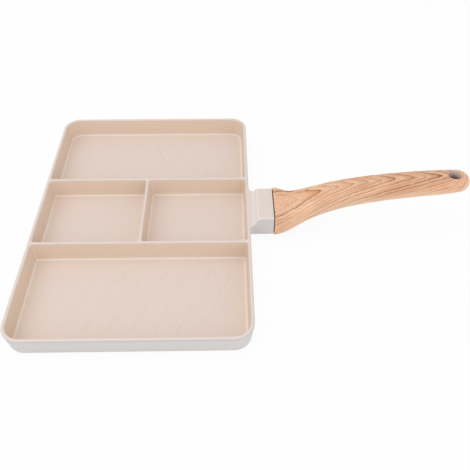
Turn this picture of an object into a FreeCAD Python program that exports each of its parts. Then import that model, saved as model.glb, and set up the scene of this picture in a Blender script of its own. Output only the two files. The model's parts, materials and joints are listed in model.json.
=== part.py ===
"""Divided frying pan: a cast rectangular pan with four compartments and a moulded handle.

FreeCAD 1.1 macro, in millimetres. The origin is the middle of the pan's base face, +Z is up and +X
runs along the handle. Every size is a named cell of the spreadsheet "sizes", and each sketch and
feature is bound to those cells by a formula.
"""
import FreeCAD, Part
import math
import os
import re
import Sketcher
from FreeCAD import Vector

# Driving dimensions: name, value, what it is
SIZES = [
    ("pan_width", 190, "rim, along the handle's direction"),
    ("pan_depth", 281, "rim, across the handle's direction"),
    ("pan_height", 21.5, "base face to rim"),
    ("rim_corner", 16, "outer corner radius at the rim"),
    ("outer_draft", 7, "slope of the outer wall, degrees"),
    ("inner_draft", 5.5, "slope of the compartment walls, degrees"),
    ("base_edge", 6, "radius between base and outer wall"),
    ("floor_thick", 3.6, "cooking floor"),
    ("rim_wall", 3, "outer wall at the rim"),
    ("divider_wall", 2.6, "dividers at their top"),
    ("divider_place", 41.2, "pan's middle to the middle of a cross divider"),
    ("inner_blend", 2.2, "radius along the floor's edges"),
    ("corner_blend", 2.5, "radius up the corners where dividers and walls meet"),
    ("lip_round", 1.1, "rounding of the compartments' upper edges"),
    ("outer_round", 1.3, "rounding of the rim's outer edge and the neck's upper edges"),
    ("rib_count", 8, "ribs on the floor of a long compartment"),
    ("rib_pitch", 18.2, "rib to rib along the handle's direction"),
    ("rib_angle", 22.6, "rib's slant from the pan's depth, degrees"),
    ("rib_length", 70, "rib, tip to tip, sunk ends included"),
    ("rib_radius", 3.6, "radius of the rib's round back"),
    ("rib_rise", 0.45, "rib above the floor"),
    ("rib_shift", 1.2, "middle of the row of ribs, from the pan's middle"),
    ("neck_reach", 20.8, "rim to the neck's end face"),
    ("neck_width", 40, "neck, across the handle"),
    ("neck_height", 20.6, "neck, underside to top"),
    ("neck_rise", 5.6, "neck's top above the rim"),
    ("neck_blend", 10, "length of the slope from rim to neck top"),
    ("neck_flare", 12, "radius between the neck's sides and the pan, at the neck's top"),
    ("neck_foot", 3, "the same radius at the neck's underside"),
    ("neck_underside", 2.5, "rounding of the neck's lower edges"),
    ("neck_root", 12, "how far the neck starts inside the pan's rim"),
    ("end_round", 0.5, "rounding round the neck's end face and the handle's root face"),
    ("shadow_gap", 0.45, "open line between neck and handle"),
    ("seat_inset", 2.5, "edge of the neck's end face to its raised seat"),
    ("tongue_width", 22, "tongue inside the handle"),
    ("tongue_height", 8, "tongue inside the handle"),
    ("tongue_length", 21, "tongue beyond the seat"),
    ("tongue_corner", 2, "rounding of the tongue's edges"),
    ("tongue_lift", 2.3, "tongue's middle above the neck's middle"),
    ("socket_play", 0.25, "clearance between tongue and socket"),
    ("handle_step", 0.5, "handle's root stands out from the neck all round"),
    ("root_corner", 2, "corner radius of the handle's root"),
    ("root_lift", 0.3, "middle of the handle's root above the neck's middle"),
    ("hole_radius", 5.5, "hang hole"),
    ("hole_setback", 2.8, "hang hole's axis to the axis of the round end"),
    ("hole_mouth", 1.5, "rounding of the hang hole's mouths"),
    ("screw_reach", 11, "handle's root face to the screw's axis"),
    ("screw_radius", 2.5, "screw's shank"),
    ("screw_play", 0.1, "clearance round the shank in the tongue"),
    ("screw_hole_play", 0.3, "clearance round the shank in the handle"),
    ("screw_length", 12, "screw under its head"),
    ("screw_tip", 0.6, "chamfer of the screw's tip"),
    ("head_radius", 4.7, "screw's head"),
    ("head_height", 3, "screw's head"),
    ("head_dome", 1.6, "rounding of the screw's head"),
    ("recess_width", 1.2, "arms of the screw's cross recess"),
    ("recess_span", 4.6, "cross recess, tip to tip"),
    ("recess_depth", 1.6, "cross recess"),
    ("seat_wall", 3, "handle between the screw's seat and the socket"),
    ("counterbore_play", 0.5, "clearance round the screw's head"),
    ("washer_thick", 1.2, "lock washer"),
    ("washer_radius", 4.6, "lock washer, outside"),
    ("washer_play", 0.15, "clearance between washer and shank"),
    ("washer_slit", 0.9, "split of the lock washer"),
]

# Cross-sections of the handle beyond its root: name, distance from the root face, width, height,
# corner radius, rise of the middle above the root's middle
GRIP_SECTIONS = [
    ("collar", 7.5, 38.4, 21.2, 2.8, 0.1),
    ("waist", 16, 33.9, 20.7, 4.9, 1.45),
    ("rise", 30, 29.8, 19.5, 6.8, 8.6),
    ("palm", 50.5, 27.9, 18.3, 8, 17.2),
    ("grip", 84, 26.1, 17.2, 8, 25.4),
    ("heel", 119.5, 24.8, 16.3, 7.6, 30.2),
    ("shoulder", 144.5, 23.8, 15.3, 7.2, 32.4),
    ("eye", 157.3, 21.4, 14.8, 7, 33.6),
]
for station, reach, width, height, corner, lift in GRIP_SECTIONS:
    SIZES += [
        (station + "_reach", reach, "handle's root face to this section"),
        (station + "_width", width, "handle's width here"),
        (station + "_height", height, "handle's height here"),
        (station + "_corner", corner, "handle's corner radius here"),
        (station + "_lift", lift, "handle's middle here above its middle at the root"),
    ]
NAMES = {name for name, value, note in SIZES}

# Places worked out from the sizes
NECK_TOP = "(pan_height + neck_rise)"
NECK_LEVEL = "(pan_height + neck_rise - neck_height / 2)"
NECK_BOTTOM = "(pan_height + neck_rise - neck_height)"
NECK_END = "(pan_width / 2 + neck_reach)"
ROOT_FACE = "(pan_width / 2 + neck_reach + shadow_gap)"
BLANK_TOP = "(pan_height + 2 * neck_rise)"
FLOOR_LEVEL = "floor_thick"
ROOT_LEVEL = "(pan_height + neck_rise - neck_height / 2 + root_lift)"
FLARE_GROWTH = f"(neck_flare - neck_foot) * ({BLANK_TOP} - {NECK_BOTTOM}) / neck_height"
BLANK_FLARE = f"(neck_foot + {FLARE_GROWTH})"
TONGUE_LEVEL = "(pan_height + neck_rise - neck_height / 2 + tongue_lift)"
SCREW_PLACE = "(pan_width / 2 + neck_reach + shadow_gap + screw_reach)"
SCREW_SEAT = f"({TONGUE_LEVEL} - tongue_height / 2 - socket_play - seat_wall)"
HEAD_SEAT = f"({SCREW_SEAT} - washer_thick)"
EYE_PLACE = f"({ROOT_FACE} + eye_reach)"
EYE_LEVEL = f"({ROOT_LEVEL} + eye_lift)"
HOLE_PLACE = f"({EYE_PLACE} - hole_setback)"
BASE_ROUND = f"min(base_edge; 1.06 * {NECK_BOTTOM})"
LIP = "min(lip_round; 0.45 * divider_wall; 0.45 * rim_wall)"

# How far apart two places may lie and still count as one, in millimetres
SLACK = 0.01

doc = FreeCAD.newDocument("divided_frying_pan")
sheet = doc.addObject("Spreadsheet::Sheet", "sizes")
for row, (name, value, note) in enumerate(SIZES, start=1):
    sheet.set(f"A{row}", note)
    sheet.set(f"B{row}", str(value))
    sheet.setAlias(f"B{row}", name)
gauge = doc.addObject("App::FeaturePython", "gauge")
gauge.addProperty("App::PropertyFloat", "reading")
doc.recompute()


def formula(text):
    """The text with each named size spelled as the document's expressions need it."""
    def spelled(word):
        return "sizes." + word[0] if word[0] in NAMES else word[0]

    return re.sub(r"[a-z]+(_[a-z]+)*", spelled, text)


def number(text):
    """The value of a formula at the present sizes."""
    gauge.setExpression("reading", formula(text))
    gauge.recompute()
    return gauge.reading


def bind(thing, path, text):
    """Ties one property of a document object to a formula."""
    thing.setExpression(path, formula(text))


# Bodies, sketches and features
def new_body(label):
    body = doc.addObject("PartDesign::Body", label)
    body.Label = label
    return body


def origin_plane(body, role):
    return next(item for item in body.Origin.OriginFeatures if item.Role == role)


def new_sketch(body, name, role, across="0", up="0", out="0"):
    """Sketch on one of the body's own planes, shifted across, up and out of that plane."""
    sketch = body.newObject("Sketcher::SketchObject", name)
    sketch.AttachmentSupport = [(origin_plane(body, role), "")]
    sketch.MapMode = "FlatFace"
    for axis, text in (("x", across), ("y", up), ("z", out)):
        bind(sketch, ".AttachmentOffset.Base." + axis, text)
    return sketch


def new_feature(body, kind, name, sketch=None, **bindings):
    """PartDesign feature of a sketch, with its named properties tied to formulas."""
    feature = body.newObject("PartDesign::" + kind, name)
    if sketch:
        feature.Profile = sketch
        sketch.Visibility = False
    for path, text in bindings.items():
        bind(feature, path, text)
    return feature


def fix_value(sketch, kind, geometry, point, text, name):
    """Named dimension of a point or a curve, tied to a formula."""
    value = number(text)
    place = (geometry,) if point is None else (geometry, point)
    index = sketch.addConstraint(Sketcher.Constraint(kind, *place, value))
    sketch.renameConstraint(index, name)
    bind(sketch, "Constraints." + name, text)


def fix_point(sketch, geometry, point, corner, name):
    """Holds a point at two formulas, or on an axis where the formula is zero."""
    for kind, axis, text, suffix in (("DistanceX", -2, corner[0], "_x"), ("DistanceY", -1, corner[1], "_y")):
        if text == "0":
            sketch.addConstraint(Sketcher.Constraint("PointOnObject", geometry, point, axis))
        else:
            fix_value(sketch, kind, geometry, point, text, name + suffix)


def arc_between(start, end, radius, turn):
    """Arc of less than half a circle; turn is 1 for anticlockwise and -1 for clockwise."""
    chord = end - start
    inward = Vector(-chord.y, chord.x, 0).normalize() * turn
    centre = (start + end) / 2 + inward * math.sqrt(max(radius ** 2 - (chord.Length / 2) ** 2, 0))
    first, last = (start, end) if turn > 0 else (end, start)
    angles = [math.atan2(spot.y - centre.y, spot.x - centre.x) for spot in (first, last)]
    return Part.ArcOfCircle(Part.Circle(centre, Vector(0, 0, 1), radius), *angles)


def outline(sketch, corners, arcs=None, name="p"):
    """Closed outline through corners given as formulas.

    arcs maps the number of a corner to the radius and the turn of the arc that starts there; every
    other stretch is a straight line.
    """
    arcs = arcs or {}
    spots = [Vector(number(x), number(y), 0) for x, y in corners]
    ends = []
    for index, start in enumerate(spots):
        end = spots[(index + 1) % len(spots)]
        if index in arcs:
            radius, turn = arcs[index]
            curve = sketch.addGeometry(arc_between(start, end, number(radius), turn))
            fix_value(sketch, "Radius", curve, None, radius, f"{name}{index}_radius")
            ends.append((curve, 1, 2) if turn > 0 else (curve, 2, 1))
        else:
            ends.append((sketch.addGeometry(Part.LineSegment(start, end)), 1, 2))
    for index, (curve, first, last) in enumerate(ends):
        following, following_first, _ = ends[(index + 1) % len(ends)]
        sketch.addConstraint(Sketcher.Constraint("Coincident", curve, last, following, following_first))
        fix_point(sketch, curve, first, corners[index], f"{name}{index}")


def rounded_rectangle(sketch, width, height, corner):
    """Rectangle about the sketch's origin with four equal round corners."""
    corners = []
    arcs = {}
    for side_x, side_y in ((1, -1), (1, 1), (-1, 1), (-1, -1)):
        on_level = (f"{side_x} * (({width}) / 2 - {corner})", f"{side_y} * ({height}) / 2")
        on_side = (f"{side_x} * ({width}) / 2", f"{side_y} * (({height}) / 2 - {corner})")
        arcs[len(corners)] = (corner, 1)
        corners += [on_level, on_side] if side_x * side_y < 0 else [on_side, on_level]
    outline(sketch, corners, arcs)


def circle(sketch, radius, name="circle"):
    """Circle about the sketch's origin."""
    curve = sketch.addGeometry(Part.Circle(Vector(0, 0, 0), Vector(0, 0, 1), number(radius)))
    sketch.addConstraint(Sketcher.Constraint("Coincident", curve, 3, -1, 1))
    fix_value(sketch, "Radius", curve, None, radius, name)


def near(value, target):
    return abs(value - target) < SLACK


def middle_of(edge):
    first, last = edge.ParameterRange
    return edge.valueAt((first + last) / 2)


def lies_at(edge, axis, place):
    """True where the whole edge lies in a plane across the given axis."""
    first, last = edge.ParameterRange
    points = [edge.valueAt(first + (last - first) * share) for share in (0, 0.25, 0.5, 0.75, 1)]
    return all(near(getattr(point, axis), place) for point in points)


def round_edges(body, name, radius, test):
    """Fillet of the edges of the body so far that pass the test, which is given the edge and its faces."""
    doc.recompute()
    before = body.Tip
    shape = before.Shape
    edges = [
        f"Edge{index}" for index, edge in enumerate(shape.Edges, start=1)
        if test(edge, shape.ancestorsOfType(edge, Part.Face))
    ]
    fillet = new_feature(body, "Fillet", name, Radius=radius)
    fillet.Base = (before, edges)
    doc.recompute()


def mirror(body, feature, name, role):
    """Mirror image of a feature about one of the body's planes."""
    image = body.newObject("PartDesign::Mirrored", name)
    image.Originals = [feature]
    image.MirrorPlane = (origin_plane(body, role), [""])
    body.Tip = image
    return image


# Pan: the casting
def wall_at(level):
    """Outer face of the pan's wall at a level, from the pan's middle."""
    return f"(pan_width / 2 - (pan_height - {level}) * tan(outer_draft))"


def neck_outline(sketch, level, flare):
    """Plan of the neck at a level, with a flare on each side that runs into the pan's sloping wall."""
    wall = wall_at(level)
    inside = "(pan_width / 2 - neck_root)"
    side = "neck_width / 2"
    foot = f"(neck_width / 2 + {flare})"
    corners = [
        (inside, f"-{foot}"),
        (wall, f"-{foot}"),
        (f"{wall} + {flare}", f"-{side}"),
        (NECK_END, f"-{side}"),
        (NECK_END, side),
        (f"{wall} + {flare}", side),
        (wall, foot),
        (inside, foot),
    ]
    outline(sketch, corners, {1: (flare, -1), 5: (flare, -1)})


def make_neck(pan):
    """Neck blank, taller than it ends up, so that one cut shapes the top of pan and neck.

    The flare grows from the neck's underside to its top.
    """
    lower = new_sketch(pan, "neck_lower_outline", "XY_Plane", out=NECK_BOTTOM)
    neck_outline(lower, NECK_BOTTOM, "neck_foot")
    upper = new_sketch(pan, "neck_upper_outline", "XY_Plane", out=BLANK_TOP)
    neck_outline(upper, BLANK_TOP, BLANK_FLARE)
    neck = new_feature(pan, "AdditiveLoft", "neck_blank", lower)
    neck.Sections = [upper]
    neck.Ruled = True


def make_tray(pan):
    """Outer block of the tray, with sloping walls and a rounded base edge."""
    slope = "pan_height * tan(outer_draft)"
    width = f"pan_width - 2 * {slope}"
    depth = f"pan_depth - 2 * {slope}"
    base = new_sketch(pan, "base_outline", "XY_Plane")
    rounded_rectangle(base, width, depth, f"(rim_corner - {slope})")
    new_feature(pan, "Pad", "tray_block", base, Length=BLANK_TOP, TaperAngle="outer_draft")
    round_edges(pan, "base_edges", BASE_ROUND, lambda edge, faces: lies_at(edge, "z", 0))


def round_neck_underside(pan):
    """Soft lower edges of the neck, flares included."""
    bottom = number(NECK_BOTTOM)
    wall = number(wall_at(NECK_BOTTOM))
    end = number(NECK_END)

    def on_lower_side(edge, faces):
        middle = middle_of(edge)
        return near(middle.z, bottom) and wall + SLACK < middle.x < end - SLACK

    round_edges(pan, "neck_underside", "neck_underside", on_lower_side)


def cut_top_line(pan):
    """Side view of the top: level rim, an S-shaped rise of two equal arcs, level neck."""
    rim_end = "pan_width / 2"
    blend_radius = "(neck_blend ^ 2 + neck_rise ^ 2) / (4 * neck_rise)"
    past = "pan_width"
    above = f"({BLANK_TOP} + neck_rise)"
    sketch = new_sketch(pan, "top_line", "XZ_Plane")
    corners = [
        (f"-{past}", "pan_height"),
        (rim_end, "pan_height"),
        (f"{rim_end} + neck_blend / 2", "pan_height + neck_rise / 2"),
        (f"{rim_end} + neck_blend", NECK_TOP),
        (past, NECK_TOP),
        (past, above),
        (f"-{past}", above),
    ]
    outline(sketch, corners, {1: (blend_radius, 1), 2: (blend_radius, -1)})
    cut = new_feature(pan, "Pocket", "top_cut", sketch)
    cut.Type = "ThroughAll"
    cut.SideType = "Symmetric"


def cut_compartments(pan):
    """Two long compartments and two small ones between them, with sloping walls."""
    depth = f"pan_height - {FLOOR_LEVEL}"
    wall_x = "(pan_width / 2 - rim_wall)"
    wall_y = "(pan_depth / 2 - rim_wall)"
    corner = "(rim_corner - rim_wall)"
    divider = "(divider_place + divider_wall / 2)"
    long_one = new_sketch(pan, "long_compartment", "XY_Plane", out="pan_height")
    corners = [
        (f"-({wall_x} - {corner})", f"-{wall_y}"),
        (f"{wall_x} - {corner}", f"-{wall_y}"),
        (wall_x, f"-({wall_y} - {corner})"),
        (wall_x, f"-{divider}"),
        (f"-{wall_x}", f"-{divider}"),
        (f"-{wall_x}", f"-({wall_y} - {corner})"),
    ]
    outline(long_one, corners, {1: (corner, 1), 5: (corner, 1)})
    sloping = {"Length": depth, "TaperAngle": "-inner_draft"}
    near_cut = new_feature(pan, "Pocket", "near_compartment", long_one, **sloping)
    mirror(pan, near_cut, "far_compartment", "XZ_Plane")

    side = "(divider_place - divider_wall / 2)"
    middle = "divider_wall / 2"
    small_one = new_sketch(pan, "small_compartment", "XY_Plane", out="pan_height")
    outline(small_one, [(middle, f"-{side}"), (wall_x, f"-{side}"), (wall_x, side), (middle, side)])
    right_cut = new_feature(pan, "Pocket", "right_compartment", small_one, **sloping)
    mirror(pan, right_cut, "left_compartment", "YZ_Plane")


def blend_compartments(pan):
    """One radius up every corner where a divider meets a wall, and a smaller one along the floors."""
    floor = number(FLOOR_LEVEL)
    rim = number("pan_height")
    dividers = number("divider_place + divider_wall")

    def in_tight_corner(edge, faces):
        levels = [vertex.Point.z for vertex in edge.Vertexes]
        upright = near(min(levels), floor) and near(max(levels), rim)
        return upright and abs(middle_of(edge).y) < dividers

    round_edges(pan, "corner_blends", "corner_blend", in_tight_corner)
    round_edges(pan, "floor_blends", "inner_blend", lambda edge, faces: lies_at(edge, "z", floor))


def round_rims(pan):
    """Soft upper edges: the rim's outer edge with the neck's upper edges, then the compartments' lips."""
    rim = number("pan_height")
    lip_x = number("pan_width / 2 - rim_wall") + SLACK
    lip_y = number("pan_depth / 2 - rim_wall") + SLACK
    end = number(NECK_END)

    def inside_lips(point):
        return abs(point.x) < lip_x and abs(point.y) < lip_y

    def on_lip(edge, faces):
        return lies_at(edge, "z", rim) and inside_lips(middle_of(edge))

    def on_outer_edge(edge, faces):
        middle = middle_of(edge)
        facing_up = [face.normalAt(*face.Surface.parameter(middle)).z > 0.5 for face in faces]
        above_rim = middle.z > rim - SLACK and middle.x < end - SLACK
        return above_rim and not inside_lips(middle) and any(facing_up) and not all(facing_up)

    round_edges(pan, "outer_edges", "outer_round", on_outer_edge)
    round_edges(pan, "compartment_lips", LIP, on_lip)


def add_seat_and_tongue(pan):
    """Raised seat that the handle's root bears on, and the tongue that its socket takes."""
    end = number(NECK_END)
    round_edges(pan, "neck_end_edges", "end_round", lambda edge, faces: lies_at(edge, "x", end))
    seat = new_sketch(pan, "seat_outline", "YZ_Plane", up=NECK_LEVEL, out=NECK_END)
    rounded_rectangle(seat, "neck_width - 2 * seat_inset", "neck_height - 2 * seat_inset", "tongue_corner")
    new_feature(pan, "Pad", "seat", seat, Length="shadow_gap")
    tongue = new_sketch(pan, "tongue_outline", "YZ_Plane", up=TONGUE_LEVEL, out=ROOT_FACE)
    rounded_rectangle(tongue, "tongue_width", "tongue_height", "tongue_corner")
    new_feature(pan, "Pad", "tongue", tongue, Length="tongue_length")
    tip = number(ROOT_FACE + " + tongue_length")
    round_edges(pan, "tongue_tip", "tongue_corner / 2", lambda edge, faces: lies_at(edge, "x", tip))
    hole = new_sketch(pan, "tapped_hole_outline", "XY_Plane", across=SCREW_PLACE)
    circle(hole, "screw_radius + screw_play")
    cut = new_feature(pan, "Pocket", "tapped_hole", hole)
    cut.Type = "ThroughAll"
    cut.SideType = "Symmetric"


def add_ribs(pan):
    """Rows of low slanting ribs: each rib is the top of half a round-ended bar sunk in the floor."""
    sunk = "(rib_radius - rib_rise)"
    half = "(rib_length / 2 - rib_radius)"
    row_middle = "(pan_depth / 2 - rim_wall + divider_place + divider_wall / 2) / 2"
    first = "rib_shift - (rib_count - 1) / 2 * rib_pitch"
    for side, name in ((-1, "near"), (1, "far")):
        sketch = new_sketch(
            pan, name + "_rib_outline", "XY_Plane",
            across=first, up=f"{side} * {row_middle}", out=f"{FLOOR_LEVEL} - {sunk}",
        )
        bind(sketch, ".AttachmentOffset.Rotation.Angle", f"{side} * rib_angle")
        corners = [("0", f"-({half} + rib_radius)"), ("rib_radius", f"-{half}"), ("rib_radius", half),
                   ("0", f"{half} + rib_radius")]
        outline(sketch, corners, {0: ("rib_radius", 1), 2: ("rib_radius", 1)})
        rib = new_feature(pan, "Revolution", name + "_rib", sketch)
        rib.ReferenceAxis = (sketch, ["V_Axis"])
        rib.Angle = 180
        rib.Reversed = True
        row = new_feature(pan, "LinearPattern", name + "_ribs", Occurrences="rib_count", Offset="rib_pitch")
        row.Originals = [rib]
        row.Direction = (origin_plane(pan, "X_Axis"), [""])
        row.Mode = "Spacing"
        pan.Tip = row


def make_pan():
    pan = new_body("pan")
    make_neck(pan)
    make_tray(pan)
    round_neck_underside(pan)
    cut_top_line(pan)
    cut_compartments(pan)
    blend_compartments(pan)
    round_rims(pan)
    add_seat_and_tongue(pan)
    add_ribs(pan)
    return pan


# Handle: the moulding
def free_section(name, level, reach):
    """Upright sketch across the handle that stands by itself, for the loft."""
    sketch = doc.addObject("Sketcher::SketchObject", name)
    sketch.Placement = FreeCAD.Placement(Vector(), FreeCAD.Rotation(Vector(1, 1, 1), 120))
    bind(sketch, "Placement.Base.x", reach)
    bind(sketch, "Placement.Base.z", level)
    sketch.Visibility = False
    return sketch


def make_grip_blank():
    """Loft through the handle's cross-sections, from the root face to the hang hole."""
    root = free_section("root_section", ROOT_LEVEL, ROOT_FACE)
    rounded_rectangle(root, "neck_width + 2 * handle_step", "neck_height + 2 * handle_step", "root_corner")
    sections = [root]
    for station in [section[0] for section in GRIP_SECTIONS]:
        sketch = free_section(
            station + "_section", f"{ROOT_LEVEL} + {station}_lift", f"{ROOT_FACE} + {station}_reach",
        )
        rounded_rectangle(sketch, station + "_width", station + "_height", station + "_corner")
        sections.append(sketch)
    blank = doc.addObject("Part::Loft", "grip_blank")
    blank.Sections = sections
    blank.Solid = True
    blank.MaxDegree = 3
    return blank


def add_round_end(handle):
    """Half turn of the last cross-section about an upright axis."""
    half_section = new_sketch(handle, "tip_section", "YZ_Plane", up=EYE_LEVEL, out=EYE_PLACE)
    flat = "(eye_width / 2 - eye_corner)"
    straight = "(eye_height / 2 - eye_corner)"
    corners = [
        ("0", "-eye_height / 2"),
        (flat, "-eye_height / 2"),
        ("eye_width / 2", f"-{straight}"),
        ("eye_width / 2", straight),
        (flat, "eye_height / 2"),
        ("0", "eye_height / 2"),
    ]
    outline(half_section, corners, {1: ("eye_corner", 1), 3: ("eye_corner", 1)})
    tip = new_feature(handle, "Revolution", "round_end", half_section)
    tip.ReferenceAxis = (half_section, ["V_Axis"])
    tip.Angle = 180
    tip.Reversed = True


def cut_hang_hole(handle):
    """Round hole through the end, with a rounded mouth above and below."""
    hole = new_sketch(handle, "hang_hole_outline", "XY_Plane", across=HOLE_PLACE)
    circle(hole, "hole_radius")
    cut = new_feature(handle, "Pocket", "hang_hole", hole)
    cut.Type = "ThroughAll"
    cut.SideType = "Symmetric"
    for side, name in ((1, "upper"), (-1, "lower")):
        mouth = new_sketch(handle, name + "_mouth", "XZ_Plane", across=HOLE_PLACE, up=EYE_LEVEL)
        face = f"{side} * eye_height / 2"
        inner = f"{side} * (eye_height / 2 - hole_mouth)"
        outer = f"{side} * (eye_height / 2 + hole_mouth)"
        corners = [
            ("0", inner),
            ("hole_radius", inner),
            ("hole_radius + hole_mouth", face),
            ("hole_radius + hole_mouth", outer),
            ("0", outer),
        ]
        outline(mouth, corners, {1: ("hole_mouth", -side)})
        groove = new_feature(handle, "Groove", name + "_mouth_cut", mouth)
        groove.ReferenceAxis = (mouth, ["V_Axis"])


def cut_socket_and_screw_hole(handle):
    """Socket for the tongue, and the stepped hole for the screw from the underside."""
    root = number(ROOT_FACE)
    round_edges(handle, "root_edges", "end_round", lambda edge, faces: lies_at(edge, "x", root))
    socket = new_sketch(handle, "socket_outline", "YZ_Plane", up=TONGUE_LEVEL, out=ROOT_FACE)
    rounded_rectangle(
        socket, "tongue_width + 2 * socket_play", "tongue_height + 2 * socket_play",
        "(tongue_corner + socket_play)",
    )
    cut = new_feature(handle, "Pocket", "socket", socket, Length="tongue_length + 2 * socket_play")
    cut.Reversed = True
    seat = new_sketch(handle, "counterbore_outline", "XY_Plane", across=SCREW_PLACE, out=SCREW_SEAT)
    circle(seat, "head_radius + counterbore_play")
    counterbore = new_feature(handle, "Pocket", "counterbore", seat)
    counterbore.Type = "ThroughAll"
    hole = new_sketch(handle, "screw_hole_outline", "XY_Plane", across=SCREW_PLACE, out=SCREW_SEAT)
    circle(hole, "screw_radius + screw_hole_play")
    through = new_feature(handle, "Pocket", "screw_hole", hole, Length="seat_wall + tongue_height / 2")
    through.Reversed = True


def make_handle():
    blank = make_grip_blank()
    doc.recompute()
    handle = new_body("handle")
    handle.BaseFeature = blank
    add_round_end(handle)
    cut_hang_hole(handle)
    cut_socket_and_screw_hole(handle)
    return handle


# Fasteners
def make_screw():
    """Pan-head screw, head down, turned about its axis and given a cross recess."""
    screw = new_body("handle_screw")
    profile = new_sketch(screw, "screw_profile", "XZ_Plane", across=SCREW_PLACE, up=HEAD_SEAT)
    corners = [
        ("0", "-head_height"),
        ("head_radius - head_dome", "-head_height"),
        ("head_radius", "-(head_height - head_dome)"),
        ("head_radius", "0"),
        ("screw_radius", "0"),
        ("screw_radius", "screw_length - screw_tip"),
        ("screw_radius - screw_tip", "screw_length"),
        ("0", "screw_length"),
    ]
    outline(profile, corners, {1: ("head_dome", 1)})
    turned = new_feature(screw, "Revolution", "turned_blank", profile)
    turned.ReferenceAxis = (profile, ["V_Axis"])
    for index, spans in enumerate((("recess_span", "recess_width"), ("recess_width", "recess_span"))):
        arm = new_sketch(
            screw, f"recess_outline_{index}", "XY_Plane",
            across=SCREW_PLACE, out=f"{HEAD_SEAT} - head_height",
        )
        half_x, half_y = (f"{span} / 2" for span in spans)
        outline(arm, [(f"-{half_x}", f"-{half_y}"), (half_x, f"-{half_y}"), (half_x, half_y),
                      (f"-{half_x}", half_y)])
        cut = new_feature(screw, "Pocket", f"recess_{index}", arm, Length="recess_depth")
        cut.Reversed = True
    return screw


def make_washer():
    """Split spring washer between the screw's head and its seat."""
    washer = new_body("lock_washer")
    ring = new_sketch(washer, "ring_outline", "XY_Plane", across=SCREW_PLACE, out=HEAD_SEAT)
    circle(ring, "washer_radius", "outside")
    circle(ring, "screw_radius + washer_play", "inside")
    new_feature(washer, "Pad", "ring", ring, Length="washer_thick")
    slit = new_sketch(washer, "slit_outline", "XY_Plane", across=SCREW_PLACE, out=HEAD_SEAT)
    outline(slit, [("0", "-washer_slit / 2"), ("2 * washer_radius", "-washer_slit / 2"),
                   ("2 * washer_radius", "washer_slit / 2"), ("0", "washer_slit / 2")])
    cut = new_feature(washer, "Pocket", "slit", slit)
    cut.Type = "ThroughAll"
    cut.Reversed = True
    return washer


parts = [make_pan(), make_handle(), make_screw(), make_washer()]
doc.recompute()

# Every object is sound before anything is written
for thing in doc.Objects:
    if {"Invalid", "Error"} & set(thing.State):
        raise RuntimeError(f"{thing.Label} failed: {thing.State}")
for part in parts:
    if part.Shape.isNull() or not part.Shape.isValid():
        raise RuntimeError(f"{part.Label} has no valid shape")

os.makedirs("parts", exist_ok=True)
for part in parts:
    part.Shape.exportStep(f"parts/{part.Label}.step")
    box = part.Shape.BoundBox
    print(
        f"{part.Label}: {len(part.Shape.Solids)} solid, {part.Shape.Volume / 1000:.1f} cm3, "
        f"x {box.XMin:.2f} to {box.XMax:.2f}, y {box.YMin:.2f} to {box.YMax:.2f}, "
        f"z {box.ZMin:.2f} to {box.ZMax:.2f}"
    )
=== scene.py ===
"""Looks of the divided frying pan: coatings on the casting, a wood-look handle, plain studio stage.

Laid out as a Blender add-on and run as a script. Lengths are in metres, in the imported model's frame:
the origin is the middle of the pan's base face, +X runs along the handle and +Z is up.
"""

import bpy
import json
import math
from mathutils import Matrix, Vector


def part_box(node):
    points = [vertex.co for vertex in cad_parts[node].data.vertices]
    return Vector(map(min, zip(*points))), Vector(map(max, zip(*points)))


bl_info = {
    "name": "Divided frying pan",
    "version": (1, 0, 0),
    "blender": (4, 5, 0),
    "location": "3D View > Sidebar > Frying pan",
    "description": "Coats the casting, prints the handle's wood film and sets the studio stage",
    "category": "Object",
}

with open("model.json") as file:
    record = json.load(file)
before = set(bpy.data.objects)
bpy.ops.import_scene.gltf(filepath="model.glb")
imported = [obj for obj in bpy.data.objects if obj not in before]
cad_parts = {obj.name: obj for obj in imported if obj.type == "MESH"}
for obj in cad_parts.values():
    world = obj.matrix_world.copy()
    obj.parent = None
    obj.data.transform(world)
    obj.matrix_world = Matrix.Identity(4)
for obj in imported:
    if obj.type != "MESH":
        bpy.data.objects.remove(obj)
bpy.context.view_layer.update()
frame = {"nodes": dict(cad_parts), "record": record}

MM = 0.001

# Places read from the frame
RIM_HALF_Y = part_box("pan")[1].y
ROOT_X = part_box("handle")[0].x
WASHER_LOW, WASHER_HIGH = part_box("lock_washer")
SCREW_X = (WASHER_LOW.x + WASHER_HIGH.x) / 2
HANG_HOLE = next(mount for mount in frame["record"]["mounts"] if mount["name"] == "hang_hole")
HOLE_X = HANG_HOLE["pos_m"][0]
HOLE_LEVEL = HANG_HOLE["pos_m"][2]
HOLE_RADIUS = HANG_HOLE["dims"]["r_mm"] * MM

# Sizes shared with the casting
RIM_HALF_X = 95 * MM
RIM_LEVEL = 21.5 * MM
RIM_CORNER = 16 * MM
OUTER_DRAFT = math.radians(7)
INNER_DRAFT = math.radians(5.5)
FLOOR_LEVEL = 3.6 * MM
DIVIDER_PLACE = 41.2 * MM

# Sizes shared with the handle: level of its root face's middle, and the screw's counterbore
ROOT_LEVEL = 17.1 * MM
COUNTERBORE_RADIUS = 5.2 * MM

# The two coatings part this far inside the rim's outer edge, in a line that wavers and is a little soft
PARTING = 1.5 * MM
PARTING_WAVER = 0.4 * MM
PARTING_BLUR = 0.4 * MM

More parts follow.
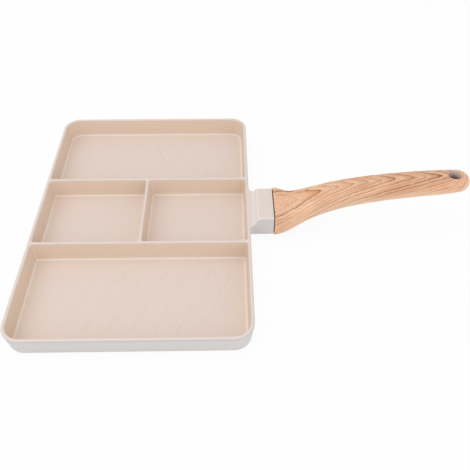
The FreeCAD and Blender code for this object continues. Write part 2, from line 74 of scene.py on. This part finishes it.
# Spans of the coatings' tones along a height or a distance: from none at the first to full at the second
BASE_SPAN = (1.6 * MM, 1.4 * MM)
FLOOR_BOUNCE_SPAN = (26 * MM, 3 * MM)
BELOW_RIM_SPAN = (RIM_LEVEL - 1 * MM, RIM_LEVEL - 3 * MM)
RIM_TOP_SPAN = (RIM_LEVEL - 1.2 * MM, RIM_LEVEL - 0.4 * MM)
COVE_HEIGHT_SPAN = (FLOOR_LEVEL + 3 * MM, FLOOR_LEVEL + 2 * MM)
COVE_REACH_SPAN = (9 * MM, 8 * MM)
RIB_FOOT_SPAN = (FLOOR_LEVEL + 0.7 * MM, FLOOR_LEVEL + 0.5 * MM)
SMALL_COMPARTMENT_SPAN = (DIVIDER_PLACE, DIVIDER_PLACE - 1 * MM)
NECK_SPAN = (RIM_HALF_X + 1 * MM, RIM_HALF_X + 3 * MM)
BESIDE_NECK_SPAN = (24 * MM, 27 * MM)
BEFORE_NECK_SPAN = (RIM_HALF_X - 2 * MM, RIM_HALF_X - 4 * MM)

# Spans along the upward part of the surface's direction: 1 is level, 0 is upright
WALL_TURN = (0.7, 0.3)
NECK_SIDE_TURN = (0.85, 0.35)
COVE_TURNS = ((0.3, 0.6), (0.995, 0.95))
NECK_EDGE_TURNS = ((0.2, 0.6), (0.97, 0.85))

# Fine step under the rim: its level, half the groove's width and half the step's own height
STEP_LEVEL = 20.2 * MM
GROOVE_REACH = 0.9 * MM
STEP_REACH = 0.3 * MM

# Share of the ribs' slopes that the coating fills
RIB_EVENING = 0.45

# Patches of tone: scale and detail of a noise, and the levels between which a patch fades in
CLOUDS = {"scale": 20, "detail": 3, "low": 0.35, "high": 0.65}
SPECKS = {"scale": 2600, "detail": 1, "low": 0.62, "high": 0.72}
DRIFTS = {"scale": 38, "detail": 2, "low": 0.35, "high": 0.7}
MOTTLE = {"scale": 520, "detail": 2, "low": 0.48, "high": 0.68}
# The same for patches that run with the grain, with their squeeze along the handle
STREAKS = {"squeeze": 0.035, "scale": 1.1, "detail": 4, "roughness": 0.65, "low": 0.40, "high": 0.68}
THREADS = {"squeeze": 0.12, "scale": 4.5, "detail": 2, "low": 0.5, "high": 0.72}
BREAKS = {"squeeze": 0.1, "scale": 1.7, "detail": 2, "low": 0.25, "high": 0.6}
PORES = {"squeeze": 0.5, "scale": 2.6, "detail": 2, "low": 0.66, "high": 0.74}

# Bare moulding: how far past a hole and the root face it shows, and the painted shade in the hang hole's
# depth
HOLE_MARGINS = (0.25 * MM, 0.1 * MM)
ROOT_SPAN = (ROOT_X + 0.3 * MM, ROOT_X + 0.15 * MM)
POCKET_SPAN = (ROOT_LEVEL + 8 * MM, ROOT_LEVEL + 7 * MM)
SHADE_SPAN = (HOLE_LEVEL + 4.5 * MM, HOLE_LEVEL - 2.5 * MM)

# From here to the stage all places lie on the wood film, in millimetres from the handle's root face.
# Course of the handle: distance from its root face and height of its middle there
SPINE = (
    (0, 0), (7.5, 0.1), (16, 1.45), (30, 8.6), (50.5, 17.2), (84, 25.4), (119.5, 30.2), (144.5, 32.4),
    (157.3, 33.6), (168, 34),
)
# Half the handle's girth square to the direction from which its film is laid out
GIRTH = (
    (0, 20.7), (8, 19.6), (16, 17.1), (30, 14.4), (50, 12.8), (84, 11.8), (119, 11.1), (144, 10.6), (168, 9),
)
# How far the grain lines have climbed across the film at places along the handle
CLIMB = ((0, 0), (12, 5.3), (25, 10.2), (40, 14.2), (80, 22.5), (120, 29.5), (151, 35.3))
# Late-wood lines: level of the grain, half width and depth of colour. Each has a soft side as well
GRAIN_LINES = (
    (3.2, 1.1, 0.3), (8.5, 0.8, 1.0), (11.9, 0.6, 0.5), (15, 0.6, 0.65), (17.6, 0.6, 0.6), (19.8, 0.5, 0.7),
    (22, 0.6, 0.95), (25, 0.7, 0.8), (27.2, 0.5, 0.6), (29.4, 0.8, 1.0), (31.9, 0.7, 0.95), (33.6, 0.5, 0.6),
    (35.2, 0.7, 0.7), (37.6, 0.6, 0.4), (40.2, 0.7, 0.55), (43, 0.6, 0.35), (46.5, 0.8, 0.4), (51, 0.8, 0.35),
    (56, 0.8, 0.35),
)
SOFT_WIDTH = 2.6
SOFT_DEPTH = 0.35
# Tops of the three tables' values, rounded up
SPINE_TOP = 40
GIRTH_TOP = 25
CLIMB_TOP = 40
# Direction across the film, as shares of sideways and upwards, and how far both shift a place along it
ACROSS_SIDE = 0.649
ACROSS_UP = 0.761
SHIFT_SIDE = -0.283
SHIFT_UP = 0.273
FOLD_SPAN = (0.5, -0.5)
# Ridge along which the grain lines turn back: its start, its slope and the square of the turn's radius
RIDGE_START = 8.2
RIDGE_SLOPE = -0.019
TURN_SQUARE = 1.4
# Where the film's grain closes round the hang hole
HOLE_REACH = 150.8
# Spans on the film: along the handle, over the grain's levels and across
REDDER_SPAN = (70, 140)
FIRST_CATHEDRAL_SPANS = ((9, 8), (60, 50))
PLAIN_CORNER_SPANS = ((46, 24), (13, 18))
HEART_SPANS = ((2.5, 5), (8.6, 8.2))
HEART_TIP_SPAN = (22, 40)
LOWER_EDGE_SPANS = ((-4, -11), (25, 60))

# Stage: size of the floor, gap that keeps it clear of the base, and how white floor and world are
FLOOR_SIZE = 8
FLOOR_GAP = 0.2 * MM
FLOOR_GREY = (0.9, 0.9, 0.9)
FLOOR_WHITENESS = 0.93
WORLD_LIGHT = 0.70
WHITE = (1, 1, 1)
# Lamps: name, place, edge and power, all turned to the same point
LAMPS = (
    ("key", (-0.5, -0.1, 1.15), 1.5, 6.4),
    ("fill", (0.75, -1.1, 0.55), 1.2, 3.9),
)
LAMP_TARGET = (0.02, 0, 0.02)


def hex_colour(code):
    """Linear colour of a display colour written as rrggbb."""
    parts = [int(code[index:index + 2], 16) / 255 for index in (0, 2, 4)]
    return tuple(part / 12.92 if part <= 0.04045 else ((part + 0.055) / 1.055) ** 2.4 for part in parts)


STEEL_DARK = hex_colour("8E8E90")
STEEL_LIGHT = hex_colour("C9C9CB")
# How closely the turning marks follow each other, and the level at which they would be fully rough
STEEL_SQUEEZE = 12
STEEL_ROUGHEST = 1.6


# Node helpers
class Nodes:
    """Short way to write a material's or a world's nodes: each call adds nodes and gives back an output."""

    def __init__(self, name, tree=None):
        if tree is None:
            self.material = bpy.data.materials.new(name)
            self.material.use_nodes = True
            tree = self.material.node_tree
        self.tree = tree
        self.tree.nodes.clear()

    def add(self, kind, inputs=None, **settings):
        node = self.tree.nodes.new("ShaderNode" + kind)
        for name, value in settings.items():
            setattr(node, name, value)
        for name, value in (inputs or {}).items():
            self.feed(node.inputs[name], value)
        return node

    def feed(self, socket, value):
        if isinstance(value, bpy.types.NodeSocket):
            self.tree.links.new(value, socket)
        elif socket.type == "RGBA" and len(value) == 3:
            socket.default_value = (*value, 1)
        else:
            socket.default_value = value

    def math(self, operation, *values):
        return self.add("Math", dict(enumerate(values)), operation=operation).outputs[0]

    def fold(self, operation, first, others):
        for other in others:
            first = self.math(operation, first, other)
        return first

    def times(self, first, *others):
        return self.fold("MULTIPLY", first, others)

    def plus(self, first, *others):
        return self.fold("ADD", first, others)

    def minus(self, first, second):
        return self.math("SUBTRACT", first, second)

    def most(self, first, *others):
        return self.fold("MAXIMUM", first, others)

    def least(self, first, *others):
        return self.fold("MINIMUM", first, others)

    def length(self, *parts, extra=0):
        """Root of the sum of the parts' squares and the extra."""
        squares = [self.math("POWER", part, 2) for part in parts]
        return self.math("SQRT", self.plus(*squares, extra))

    def vector(self, operation, first, second=None, scale=None):
        given = {index: value for index, value in enumerate((first, second)) if value is not None}
        if scale is not None:
            given["Scale"] = scale
        return self.add("VectorMath", given, operation=operation).outputs[0]

    def object_point(self):
        return self.add("TexCoord").outputs["Object"]

    def direction(self):
        """Direction that the surface faces, before any bump."""
        return self.add("TexCoord").outputs["Normal"]

    def split(self, point):
        return self.add("SeparateXYZ", {"Vector": point}).outputs

    def join(self, x, y, z):
        return self.add("CombineXYZ", {"X": x, "Y": y, "Z": z}).outputs[0]

    def noise(self, point, scale, detail, roughness=0.5):
        given = {"Vector": point, "Scale": scale, "Detail": detail, "Roughness": roughness}
        return self.add("TexNoise", given).outputs["Fac"]

    def swing(self, point, scale, detail, width):
        """Noise that swings about 0 over the width."""
        return self.times(self.minus(self.noise(point, scale, detail), 0.5), width)

    def patches(self, point, scale, detail, low, high, roughness=0.5):
        """Noise that is cut off to clear patches: none at low, full at high."""
        return self.ramp(self.noise(point, scale, detail, roughness), low, high)

    def ramp(self, value, low, high, smooth=True):
        """0 up to low and 1 from high on."""
        given = {"Value": value, "From Min": low, "From Max": high}
        kind = "SMOOTHSTEP" if smooth else "LINEAR"
        return self.add("MapRange", given, interpolation_type=kind).outputs["Result"]

    def blend(self, share, first, second):
        node = self.add("Mix", data_type="RGBA")
        self.feed(node.inputs["Factor"], share)
        for name, value in (("A", first), ("B", second)):
            socket = next(item for item in node.inputs if item.name == name and item.type == "RGBA")
            self.feed(socket, value)
        return next(item for item in node.outputs if item.type == "RGBA")

    def tint(self, colour, share, tone, strength):
        """The colour, with the tone laid over it by the share times the strength."""
        return self.blend(self.times(share, strength), colour, tone)

    def curve(self, value, table, top):
        """Smooth curve through a table's places and values, which lie between 0 and top."""
        low = table[0][0]
        high = table[-1][0]
        node = self.add("FloatCurve", {"Value": self.ramp(value, low, high, smooth=False)})
        points = node.mapping.curves[0].points
        while len(points) < len(table):
            points.new(0.5, 0.5)
        for point, (place, level) in zip(points, table):
            point.location = ((place - low) / (high - low), level / top)
        node.mapping.update()
        return self.times(node.outputs[0], top)

    def line(self, value, place, width):
        """1 at the place, down to 0 at the width on both sides."""
        return self.ramp(self.math("ABSOLUTE", self.minus(value, place)), width, 0)

    def bump(self, height, strength, distance, normal=None):
        given = {"Height": height, "Strength": strength, "Distance": distance}
        if normal is not None:
            given["Normal"] = normal
        return self.add("Bump", given).outputs["Normal"]

    def surface(self, **inputs):
        """Ends the material in one Principled shader."""
        given = {name.replace("_", " ").title(): value for name, value in inputs.items()}
        given = {name.replace("Ior", "IOR"): value for name, value in given.items()}
        self.end("OutputMaterial", self.add("BsdfPrincipled", given).outputs[0])
        return self.material

    def end(self, kind, shader):
        output = self.add(kind)
        self.tree.links.new(shader, output.inputs["Surface"])


# Settings a user would change
def tone(name, description, code):
    """Colour setting with a display colour as its default."""
    return bpy.props.FloatVectorProperty(
        name=name, description=description, subtype="COLOR", size=3, min=0, max=1, default=hex_colour(code),
    )


def share_setting(name, description, default):
    """Setting between 0 and 1."""
    return bpy.props.FloatProperty(
        name=name, description=description, subtype="FACTOR", min=0, max=1, default=default,
    )


class CoatingSettings(bpy.types.PropertyGroup):
    inside: tone("Inside", "Non-stick coating in the compartments", "E1CFC5")
    # Painted shade: the walls' warmer tone stands in for the warm, bounced shade on them
    painted_wall_shade: tone("Walls", "Warmer tone of the compartments' walls", "E6D0BA")
    # Painted light: the floors' tone beside their walls stands in for light bounced off the walls
    margin: tone("Margins", "Tone of the floors beside their walls", "E8D7C4")
    # Painted highlight along the foot of the walls, where the floors curve up into them
    cove_highlight: tone("Coves", "Paler tone where the coating pulls thin along the floors", "F6EADF")
    # Painted highlight: a paler, greyer sheen on the rim, the dividers' tops and the neck's top
    edges: tone("Edges", "Greyer tone of the rim, the dividers' tops and the neck's top", "E0D4CC")
    cloud: tone("Clouds", "Faint drifts in the sprayed inside coating", "E2CFC9")
    specks: tone("Specks", "Very fine darker specks in both coatings", "B79F92")
    outside: tone("Outside", "Coating on the outer walls, the neck's sides and the base", "D6D1D0")
    # Painted highlight along the neck's upper edges
    neck_edge_highlight: tone("Worn edges", "Pale wear along the neck's upper edges", "F0E7E4")
    groove: tone("Groove", "Shade in the fine step under the rim", "A89C99")
    gloss: share_setting("Roughness", "Roughness of both coatings", 0.42)


class WoodSettings(bpy.types.PropertyGroup):
    light: tone("Light wood", "Early wood between the grain lines", "F8CFAB")
    middle: tone("Middle wood", "Broad darker drifts of the early wood", "EAB894")
    late: tone("Late wood", "Streaks that run with the grain", "D98E62")
    mottle: tone("Mottle", "Pinkish speckle of the film", "C98D78")
    heart: tone("Heart", "Orange heart of the first cathedral", "DE9158")
    dark: tone("Dark wood", "Grain lines and pores", "884E2D")
    # Partly the print, partly painted light that lifts the shade on the near lower edge
    lower_edge_light: tone("Lower edge", "Paler wood along the near lower edge", "FFDFC0")
    moulding: tone("Moulding", "Bare phenolic where the wood film doesn't reach", "E8D8CD")
    grit: tone("Grit", "Grains in the bare phenolic", "94837A")
    # Painted shade, darkest deep in the hang hole
    shade: tone("Shade", "Darkest tone, deep in the hang hole", "3E2A20")
    gloss: share_setting("Roughness", "Roughness of the film", 0.4)


class StageSettings(bpy.types.PropertyGroup):
    lens: bpy.props.FloatProperty(
        name="Lens", description="Focal length on a 36 mm sensor, in millimetres", min=10, default=44.32,
    )
    stand: bpy.props.FloatVectorProperty(
        name="Camera", description="Where the camera stands",
        subtype="TRANSLATION", unit="LENGTH", size=3, default=(0.075263, -0.380556, 0.376769),
    )
    heading: bpy.props.FloatProperty(
        name="Heading", description="Camera's turn to the right of +Y", subtype="ANGLE", default=0.01724,
    )
    pitch: bpy.props.FloatProperty(
        name="Pitch", description="How far the camera looks down", subtype="ANGLE", default=0.79811,
    )
    roll: bpy.props.FloatProperty(
        name="Roll", description="Camera's turn about its own axis", subtype="ANGLE", default=0.00225,
    )


# Coatings of the casting
def outside_share(nodes, point, x, y, z, steep):
    """1 on the outer walls, the neck's sides and the base, parted from the inside along the rim."""
    lean = math.tan((OUTER_DRAFT + INNER_DRAFT) / 2)
    sunk = nodes.times(nodes.minus(RIM_LEVEL, z), lean)
    sides = []
    for along, half in ((x, RIM_HALF_X), (y, RIM_HALF_Y)):
        reach = nodes.plus(nodes.math("ABSOLUTE", along), sunk)
        sides.append(nodes.most(nodes.minus(reach, half - RIM_CORNER), 0))
    waver = nodes.swing(point, scale=60, detail=1, width=PARTING_WAVER)
    beyond = nodes.minus(nodes.plus(nodes.length(*sides), waver), RIM_CORNER - PARTING)
    outer = nodes.ramp(beyond, -PARTING_BLUR, PARTING_BLUR)
    # The inside colour is sprayed over the neck's top as well
    outer = nodes.times(outer, nodes.ramp(steep, *NECK_SIDE_TURN))
    return nodes.most(outer, nodes.ramp(z, *BASE_SPAN))


def wall_distance(nodes, x, y):
    """Distance on the floor from a point to the nearest wall or divider."""
    across = nodes.math("ABSOLUTE", x)
    along = nodes.math("ABSOLUTE", y)
    to_side = nodes.minus(RIM_HALF_X, across)
    to_end = nodes.minus(RIM_HALF_Y, along)
    to_divider = nodes.math("ABSOLUTE", nodes.minus(along, DIVIDER_PLACE))
    # The short middle divider counts only in the small compartments: elsewhere it is moved 1 m off
    moved = nodes.minus(1, nodes.ramp(along, *SMALL_COMPARTMENT_SPAN))
    return nodes.least(to_side, to_end, to_divider, nodes.plus(across, moved))


def between_turns(nodes, steep, turns):
    """1 where the surface lies between upright and level, as the two turns say."""
    from_upright, to_level = turns
    return nodes.times(nodes.ramp(steep, *from_upright), nodes.ramp(steep, *to_level))


def inside_tone(nodes, settings, point, x, y, z, steep):
    """Inside coating: painted warm shade on the walls, painted bounce on the floors beside them, soft clouds,
    painted highlights at the walls' foot and a greyer painted sheen on the tops.
    """
    distance = wall_distance(nodes, x, y)
    # Painted bounce light on the floors beside the walls
    margin = nodes.times(nodes.ramp(distance, *FLOOR_BOUNCE_SPAN), nodes.ramp(z, *BELOW_RIM_SPAN))
    colour = nodes.tint(settings.inside, margin, settings.margin, strength=0.45)
    # Painted shade: a warmer tone on the upright walls
    upright = nodes.ramp(nodes.math("ABSOLUTE", steep), *WALL_TURN)
    colour = nodes.tint(colour, upright, settings.painted_wall_shade, strength=0.85)
    colour = nodes.tint(colour, nodes.patches(point, **CLOUDS), settings.cloud, strength=0.25)
    # Painted highlight along the foot of the walls
    cove = nodes.times(
        between_turns(nodes, steep, COVE_TURNS),
        nodes.ramp(z, *COVE_HEIGHT_SPAN),
        nodes.ramp(distance, *COVE_REACH_SPAN),
    )
    colour = nodes.tint(colour, cove, settings.cove_highlight, strength=0.55)
    # Painted sheen, greyer, on the rim, the dividers' tops and the neck's top
    return nodes.tint(colour, nodes.ramp(z, *RIM_TOP_SPAN), settings.edges, strength=0.7)


def evened_direction(nodes, direction, z):
    """The surface's direction, turned upwards up to the ribs' tops as far as the coating evens them out."""
    soft = nodes.times(nodes.ramp(z, *RIB_FOOT_SPAN), RIB_EVENING)
    kept = nodes.vector("SCALE", direction, scale=nodes.minus(1, soft))
    return nodes.vector("NORMALIZE", nodes.vector("ADD", kept, nodes.join(0, 0, soft)))


def coated_casting():
    """Beige inside and off-white outside, parted along the rim's outer edge."""
    settings = bpy.context.scene.coating
    nodes = Nodes("coated_casting")
    point = nodes.object_point()
    x, y, z = nodes.split(point)
    direction = nodes.direction()
    steep = nodes.split(direction)[2]
    outer = outside_share(nodes, point, x, y, z, steep)
    inside = inside_tone(nodes, settings, point, x, y, z, steep)
    colour = nodes.blend(outer, inside, settings.outside)
    # Painted highlight along the neck's upper edges
    neck_edge_highlight = nodes.times(between_turns(nodes, steep, NECK_EDGE_TURNS), nodes.ramp(x, *NECK_SPAN))
    colour = nodes.tint(colour, neck_edge_highlight, settings.neck_edge_highlight, strength=0.5)
    colour = nodes.tint(colour, nodes.patches(point, **SPECKS), settings.specks, strength=0.10)
    # Fine step under the rim, all round the outer wall but not over the neck
    beside_neck = nodes.ramp(nodes.math("ABSOLUTE", y), *BESIDE_NECK_SPAN)
    stepped = nodes.times(outer, nodes.most(beside_neck, nodes.ramp(x, *BEFORE_NECK_SPAN)))
    # Painted shade along the groove of the step under the rim
    groove = nodes.times(nodes.line(z, STEP_LEVEL, GROOVE_REACH), stepped)
    colour = nodes.tint(colour, groove, settings.groove, strength=0.32)
    step = nodes.times(nodes.ramp(z, STEP_LEVEL - STEP_REACH, STEP_LEVEL + STEP_REACH), stepped)
    # Relief: fine orange peel, broad unevenness and the step
    normal = evened_direction(nodes, direction, z)
    peel = nodes.noise(point, scale=700, detail=2)
    normal = nodes.bump(peel, strength=0.25, distance=0.05 * MM, normal=normal)
    waves = nodes.noise(point, scale=90, detail=2)
    normal = nodes.bump(waves, strength=0.2, distance=0.15 * MM, normal=normal)
    normal = nodes.bump(step, strength=0.6, distance=0.5 * MM, normal=normal)
    rough = nodes.plus(settings.gloss, nodes.swing(point, scale=120, detail=2, width=0.1))
    return nodes.surface(base_color=colour, roughness=rough, normal=normal, ior=1.45)


# Wood film of the handle
def film_place(nodes, x, y, z):
    """Place along the handle and across its film, in millimetres.

    Across runs from the near lower edge to the far upper one, and folds back on the hidden side.
    """
    reach = nodes.times(nodes.minus(x, ROOT_X), 1 / MM)
    side = nodes.times(y, 1 / MM)
    middle = nodes.plus(nodes.curve(reach, SPINE, SPINE_TOP), ROOT_LEVEL / MM)
    height = nodes.minus(nodes.times(z, 1 / MM), middle)
    across = nodes.plus(nodes.times(side, ACROSS_SIDE), nodes.times(height, ACROSS_UP))
    facing = nodes.plus(nodes.times(side, -ACROSS_UP), nodes.times(height, ACROSS_SIDE))
    girth = nodes.times(nodes.curve(reach, GIRTH, GIRTH_TOP), 2)
    folded = nodes.minus(girth, nodes.math("ABSOLUTE", across))
    folded = nodes.times(folded, nodes.math("SIGN", across))
    hidden = nodes.ramp(facing, *FOLD_SPAN)
    across = nodes.plus(nodes.times(across, nodes.minus(1, hidden)), nodes.times(folded, hidden))
    place = nodes.plus(reach, nodes.plus(nodes.times(side, SHIFT_SIDE), nodes.times(height, SHIFT_UP)))
    return place, across


def grain_level(nodes, place, across):
    """Level of the printed grain at a place: equal levels lie on one grain line.

    The lines climb across the handle towards its end, turn back along a ridge near its far upper
    edge, and close round the hang hole.
    """
    ridge = nodes.plus(nodes.times(place, RIDGE_SLOPE), RIDGE_START)
    beyond = nodes.most(nodes.minus(place, HOLE_REACH), 0)
    spread = nodes.length(beyond, nodes.minus(across, ridge), extra=TURN_SQUARE)
    return nodes.minus(nodes.plus(nodes.curve(place, CLIMB, CLIMB_TOP), spread), ridge)


def with_grain(nodes, place, level, squeeze, depth=0, **pattern):
    """Patches that run with the grain."""
    return nodes.patches(nodes.join(nodes.times(place, squeeze), level, depth), **pattern)


def inside_spans(nodes, first, second, spans):
    """Product of two values' ramps."""
    return nodes.times(nodes.ramp(first, *spans[0]), nodes.ramp(second, *spans[1]))


def early_wood(nodes, settings, point, level, place):
    """Wood between the grain lines: drifts of tone, streaks, mottle and fine threads."""
    colour = nodes.blend(nodes.patches(point, **DRIFTS), settings.light, settings.middle)
    # The streaks are stronger towards the handle's end
    redder = nodes.plus(nodes.times(nodes.ramp(place, *REDDER_SPAN), 0.2), 0.45)
    colour = nodes.tint(colour, with_grain(nodes, place, level, **STREAKS), settings.late, strength=redder)
    # The mottle is strongest inside the first cathedral
    first = inside_spans(nodes, level, place, FIRST_CATHEDRAL_SPANS)
    mottled = nodes.plus(nodes.times(first, 0.25), 0.15)
    colour = nodes.tint(colour, nodes.patches(point, **MOTTLE), settings.mottle, strength=mottled)
    return nodes.tint(colour, with_grain(nodes, place, level, **THREADS), settings.dark, strength=0.22)


def late_wood(nodes, point, level, place):
    """Grain lines: each is dark at its crest, fades on its lower level and breaks up here and there."""
    ragged = nodes.plus(level, nodes.swing(point, scale=420, detail=2, width=1.0))
    lines = 0
    for crest, width, depth in GRAIN_LINES:
        crisp = nodes.times(nodes.line(ragged, crest, width), depth)
        soft = nodes.times(nodes.line(ragged, crest - width, SOFT_WIDTH * width), SOFT_DEPTH * depth)
        lines = nodes.most(crisp, soft, lines)
    broken = with_grain(nodes, place, level, **BREAKS)
    lines = nodes.times(lines, nodes.plus(nodes.times(broken, 0.5), 0.5))
    # The film is plain towards the near lower corner of the root
    plain = inside_spans(nodes, place, level, PLAIN_CORNER_SPANS)
    return nodes.times(lines, nodes.minus(1, nodes.times(plain, 0.75)))


def bare_moulding(nodes, x, y, z):
    """1 where no film reaches: the hang hole's wall, the root face and the screw's counterbore."""
    def within(place, radius):
        start, full = HOLE_MARGINS
        return nodes.ramp(nodes.length(nodes.minus(x, place), y), radius + start, radius + full)

    pocket = nodes.times(within(SCREW_X, COUNTERBORE_RADIUS), nodes.ramp(z, *POCKET_SPAN))
    return nodes.most(within(HOLE_X, HOLE_RADIUS), pocket, nodes.ramp(x, *ROOT_SPAN))


def wood_film():
    """Printed wood grain over the moulding: long cathedral lines, fine streaks and pores."""
    settings = bpy.context.scene.wood
    nodes = Nodes("wood_film")
    point = nodes.object_point()
    x, y, z = nodes.split(point)
    place, across = film_place(nodes, x, y, z)
    level = grain_level(nodes, place, across)
    level = nodes.plus(level, nodes.swing(point, scale=45, detail=2, width=2.2))
    colour = early_wood(nodes, settings, point, level, place)
    lines = late_wood(nodes, point, level, place)
    colour = nodes.blend(lines, colour, settings.dark)
    heart = nodes.times(inside_spans(nodes, level, level, HEART_SPANS), nodes.ramp(place, *HEART_TIP_SPAN))
    colour = nodes.tint(colour, heart, settings.heart, strength=0.55)
    pores = with_grain(nodes, place, level, depth=nodes.times(across, 0.4), **PORES)
    colour = nodes.tint(colour, pores, settings.dark, strength=0.4)
    # Paler film along the near lower edge: partly the print, partly painted light on its shade
    edge = inside_spans(nodes, across, place, LOWER_EDGE_SPANS)
    colour = nodes.tint(colour, edge, settings.lower_edge_light, strength=0.45)
    # Bare moulding, with painted shade deep in the hang hole
    bare = bare_moulding(nodes, x, y, z)
    grit = nodes.noise(point, scale=900, detail=2)
    moulded = nodes.tint(settings.moulding, grit, settings.grit, strength=0.4)
    moulded = nodes.blend(nodes.ramp(z, *SHADE_SPAN), moulded, settings.shade)
    colour = nodes.blend(bare, colour, moulded)
    # Lines, bare moulding and grit are rougher, and lines and pores lie a little lower
    rougher = nodes.plus(nodes.times(lines, 0.1), nodes.times(bare, 0.15), nodes.times(grit, 0.08))
    rough = nodes.plus(rougher, settings.gloss)
    relief = nodes.minus(nodes.times(grit, 0.4), nodes.most(lines, pores))
    normal = nodes.bump(relief, strength=0.35, distance=0.06 * MM)
    return nodes.surface(base_color=colour, roughness=rough, normal=normal, ior=1.48)


# Steel of the fasteners
def steel():
    """Turned and lightly brushed steel, with rings squeezed together along the screw."""
    nodes = Nodes("steel")
    x, y, z = nodes.split(nodes.object_point())
    rings = nodes.noise(nodes.join(x, y, nodes.times(z, STEEL_SQUEEZE)), scale=900, detail=2)
    colour = nodes.blend(rings, STEEL_DARK, STEEL_LIGHT)
    rough = nodes.ramp(rings, 0, STEEL_ROUGHEST, smooth=False)
    normal = nodes.bump(rings, strength=0.2, distance=0.02 * MM)
    return nodes.surface(base_color=colour, metallic=1.0, roughness=rough, normal=normal)


def dress(piece, material):
    """The material in each of the piece's slots. A piece without a slot gets one."""
    if not piece.material_slots:
        piece.data.materials.append(material)
    for slot in piece.material_slots:
        slot.material = material


# Operators, one for each piece or group and one for the stage
class CoatCasting(bpy.types.Operator):
    """Gives the casting its two coatings"""

    bl_idname = "frying_pan.coat_casting"
    bl_label = "Coat the casting"

    def execute(self, context):
        dress(frame["nodes"]["pan"], coated_casting())
        return {"FINISHED"}


class PrintHandle(bpy.types.Operator):
    """Gives the moulded handle its printed wood film"""

    bl_idname = "frying_pan.print_handle"
    bl_label = "Print the handle"

    def execute(self, context):
        dress(frame["nodes"]["handle"], wood_film())
        return {"FINISHED"}


class FinishFasteners(bpy.types.Operator):
    """Gives the screw and its washer their steel"""

    bl_idname = "frying_pan.finish_fasteners"
    bl_label = "Finish the fasteners"

    def execute(self, context):
        metal = steel()
        for name in ("handle_screw", "lock_washer"):
            dress(frame["nodes"][name], metal)
        return {"FINISHED"}


class SetStage(bpy.types.Operator):
    """Floor, lights and a camera that looks down from the pan's near side"""

    bl_idname = "frying_pan.set_stage"
    bl_label = "Set the stage"

    def execute(self, context):
        place_camera(context.scene.stage)
        lay_floor()
        hang_lights()
        context.scene.world = white_world()
        context.scene.view_settings.view_transform = "Standard"
        return {"FINISHED"}


# Stage
def place_camera(settings):
    """Camera that looks along +Y, turned by its heading, pitch and roll."""
    data = bpy.data.cameras.new("camera")
    data.lens = settings.lens
    data.sensor_width = 36
    data.clip_start = 0.01
    camera = bpy.data.objects.new("camera", data)
    bpy.context.scene.collection.objects.link(camera)
    turn = Matrix.Rotation(-settings.heading, 4, "Z")
    tilt = Matrix.Rotation(math.pi / 2 - settings.pitch, 4, "X")
    roll = Matrix.Rotation(settings.roll, 4, "Z")
    camera.matrix_world = Matrix.Translation(Vector(settings.stand)) @ turn @ tilt @ roll
    bpy.context.scene.camera = camera


def plainly_seen(nodes):
    """1 for camera rays, also by way of a gloss or a clear piece."""
    rays = nodes.add("LightPath").outputs
    return nodes.most(rays["Is Camera Ray"], rays["Is Glossy Ray"], rays["Is Transmission Ray"])


def lay_floor():
    """White floor that shows as plain white to the camera, with a trace of shadow."""
    bpy.ops.object.select_all(action="DESELECT")
    bpy.ops.mesh.primitive_plane_add(size=FLOOR_SIZE, location=(0, 0, -FLOOR_GAP))
    floor = bpy.context.object
    floor.name = "floor"
    nodes = Nodes("floor")
    lit = nodes.add("BsdfDiffuse", {"Color": FLOOR_GREY}).outputs[0]
    plain = nodes.add("Emission", {"Color": WHITE, "Strength": 1.0}).outputs[0]
    pure = nodes.times(plainly_seen(nodes), FLOOR_WHITENESS)
    nodes.end("OutputMaterial", nodes.add("MixShader", {0: pure, 1: lit, 2: plain}).outputs[0])
    dress(floor, nodes.material)


def hang_lights():
    """Large soft lamp above the pan's left side and a weaker one from the right front."""
    for name, place, size, power in LAMPS:
        lamp = bpy.data.lights.new(name, "AREA")
        lamp.size = size
        lamp.energy = power
        holder = bpy.data.objects.new(name, lamp)
        holder.location = place
        beam = Vector(LAMP_TARGET) - Vector(place)
        holder.rotation_euler = beam.to_track_quat("-Z", "Y").to_euler()
        bpy.context.scene.collection.objects.link(holder)


def white_world():
    """World that lights the object softly and shows as plain white."""
    world = bpy.data.worlds.new("studio")
    world.use_nodes = True
    nodes = Nodes("studio", world.node_tree)
    lit = nodes.add("Background", {"Color": WHITE, "Strength": WORLD_LIGHT}).outputs[0]
    plain = nodes.add("Background", {"Color": WHITE, "Strength": 1.0}).outputs[0]
    mixed = nodes.add("MixShader", {0: plainly_seen(nodes), 1: lit, 2: plain}).outputs[0]
    nodes.end("OutputWorld", mixed)
    return world


class FryingPanPanel(bpy.types.Panel):
    """Lists the steps and their settings in the sidebar"""

    bl_idname = "VIEW3D_PT_frying_pan"
    bl_label = "Frying pan"
    bl_space_type = "VIEW_3D"
    bl_region_type = "UI"
    bl_category = "Frying pan"

    def draw(self, context):
        for step in STEPS:
            self.layout.operator(step.bl_idname)
        for group in SETTINGS:
            settings = getattr(context.scene, group)
            for name in settings.bl_rna.properties.keys():
                if name not in ("rna_type", "name"):
                    self.layout.prop(settings, name)


STEPS = (CoatCasting, PrintHandle, FinishFasteners, SetStage)
SETTINGS = {"coating": CoatingSettings, "wood": WoodSettings, "stage": StageSettings}


def register():
    for entry in (*SETTINGS.values(), *STEPS, FryingPanPanel):
        bpy.utils.register_class(entry)
    for name, group in SETTINGS.items():
        setattr(bpy.types.Scene, name, bpy.props.PointerProperty(type=group))


def unregister():
    for name in SETTINGS:
        delattr(bpy.types.Scene, name)
    for entry in reversed((*SETTINGS.values(), *STEPS, FryingPanPanel)):
        bpy.utils.unregister_class(entry)


def main():
    register()
    bpy.ops.frying_pan.coat_casting()
    bpy.ops.frying_pan.print_handle()
    bpy.ops.frying_pan.finish_fasteners()
    bpy.ops.frying_pan.set_stage()


if __name__ == "__main__":
    main()
